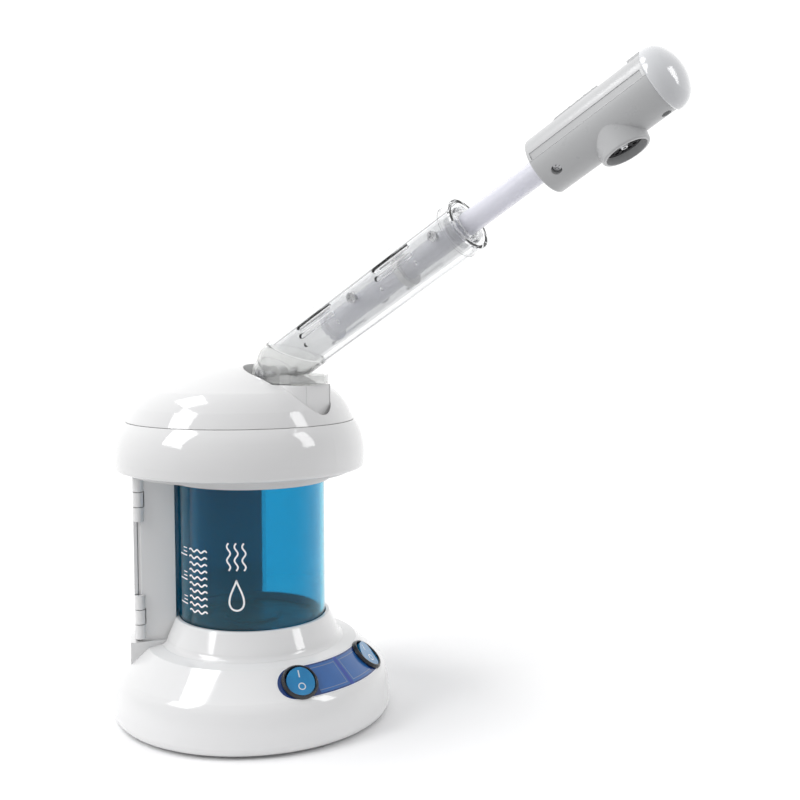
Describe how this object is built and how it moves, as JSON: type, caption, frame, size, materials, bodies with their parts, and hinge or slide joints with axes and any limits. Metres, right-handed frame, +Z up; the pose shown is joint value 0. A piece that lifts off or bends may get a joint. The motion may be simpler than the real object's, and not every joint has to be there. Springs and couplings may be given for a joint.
{
  "type": "facial steamer",
  "caption": "Tabletop facial steamer: round base with rocker switches, blue water tank, domed lid and a telescoping, tilting steam arm with a swivelling nozzle head.",
  "frame": {"origin": "middle of the flat underside of the base, on the axis of the water tank; the rubber feet reach 2.4 mm lower", "axes": "+X forward, the way the arm and the control panel point; +Y to the object's left; +Z up"},
  "size_m": [0.3564, 0.1686, 0.3642],
  "materials": {
    "white_abs": "gloss",
    "blue_clear": "clear gloss",
    "clear": "clear gloss",
    "lavender": "satin",
    "light_grey": "satin",
    "black_plastic": "gloss",
    "cap_blue": "clear gloss",
    "panel_blue": "satin print",
    "silicone": "matte",
    "foot_rubber": "matte",
    "screw_steel": "plated",
    "heater_metal": "dark coated",
    "element_steel": "heat tinted",
    "board": "matte",
    "grey_case": "matte",
    "pin_brass": "polished",
    "lamp_glass": "clear",
    "felt": "matte"
  },
  "bodies": {
    "root": {"base_shell": "white_abs", "bottom_cover": "white_abs", "rubber_feet": "foot_rubber", "bottom_screws": "screw_steel", "tank_collar": "white_abs", "tank_foot_seal": "silicone", "heating_plate": "heater_metal", "heating_element": "element_steel", "thermostat": "grey_case", "thermal_fuse": "grey_case", "tank": "blue_clear", "tank_mouth_seal": "silicone", "control_board": "board", "ozone_driver": "grey_case", "power_inlet": "black_plastic", "inlet_pins": "pin_brass", "control_panel": "panel_blue", "power_switch_body": "black_plastic", "ozone_switch_body": "black_plastic", "column_frame": "white_abs", "door_hinge_pins": "screw_steel", "lamp_wire_sleeve": "silicone", "under_plate": "white_abs", "dome_rim": "white_abs", "lamp_holder": "grey_case", "ozone_lamp": "lamp_glass"},
    "lid": {"dome_lid": "white_abs", "lid_seal": "silicone", "turret": "white_abs", "steam_hood": "white_abs", "steam_duct": "silicone"},
    "arm": {"elbow": "clear", "pivot_screw": "screw_steel", "tube_shell_right": "clear", "tube_shell_left": "clear", "tube_screws": "screw_steel", "guide_sleeve": "clear", "guide_ring": "white_abs", "end_collar": "clear"},
    "inner_tube": {"inner_tube": "lavender", "swivel_ring": "white_abs"},
    "head": {"head_shell_upper": "light_grey", "head_shell_lower": "light_grey", "outlet_grille": "black_plastic", "jet_nozzle": "screw_steel", "head_screws": "screw_steel", "head_cap": "light_grey", "aroma_pad": "felt"},
    "aroma_cover": {"aroma_slider": "light_grey"},
    "power_cap": {"power_rocker": "cap_blue"},
    "ozone_cap": {"ozone_rocker": "cap_blue"},
    "door": {"column_door": "white_abs"}
  },
  "joints": [
    {"name": "lid_lift", "type": "slide", "parent": "root", "child": "lid", "axis": [0, 0, 1], "range_m": [0, 0.05]},
    {"name": "arm_tilt", "type": "hinge", "parent": "lid", "child": "arm", "pos_m": [0.023, 0, 0.2056], "axis": [0, -1, 0], "range_deg": [0, 35]},
    {"name": "tube_slide", "type": "slide", "parent": "arm", "child": "inner_tube", "axis": [0.866, 0, 0.5], "range_m": [-0.0435, 0.05]},
    {"name": "head_spin", "type": "hinge", "parent": "inner_tube", "child": "head", "pos_m": [0, 0, 0.1969], "axis": [0.866, 0, 0.5], "range_deg": [-90, 90]},
    {"name": "aroma_slide", "type": "slide", "parent": "head", "child": "aroma_cover", "axis": [0.866, 0, 0.5], "range_m": [0, 0.016]},
    {"name": "power_rocker_tilt", "type": "hinge", "parent": "root", "child": "power_cap", "pos_m": [0.06361, -0.02966, 0.0327], "axis": [-0.4226, -0.9063, 0], "range_deg": [0, 16]},
    {"name": "ozone_rocker_tilt", "type": "hinge", "parent": "root", "child": "ozone_cap", "pos_m": [0.06361, 0.02966, 0.0327], "axis": [0.4226, -0.9063, 0], "range_deg": [0, 16]},
    {"name": "door_swing", "type": "hinge", "parent": "root", "child": "door", "pos_m": [-0.03997, -0.05501, 0.1], "axis": [0, 0, 1], "range_deg": [0, 100]}
  ]
}
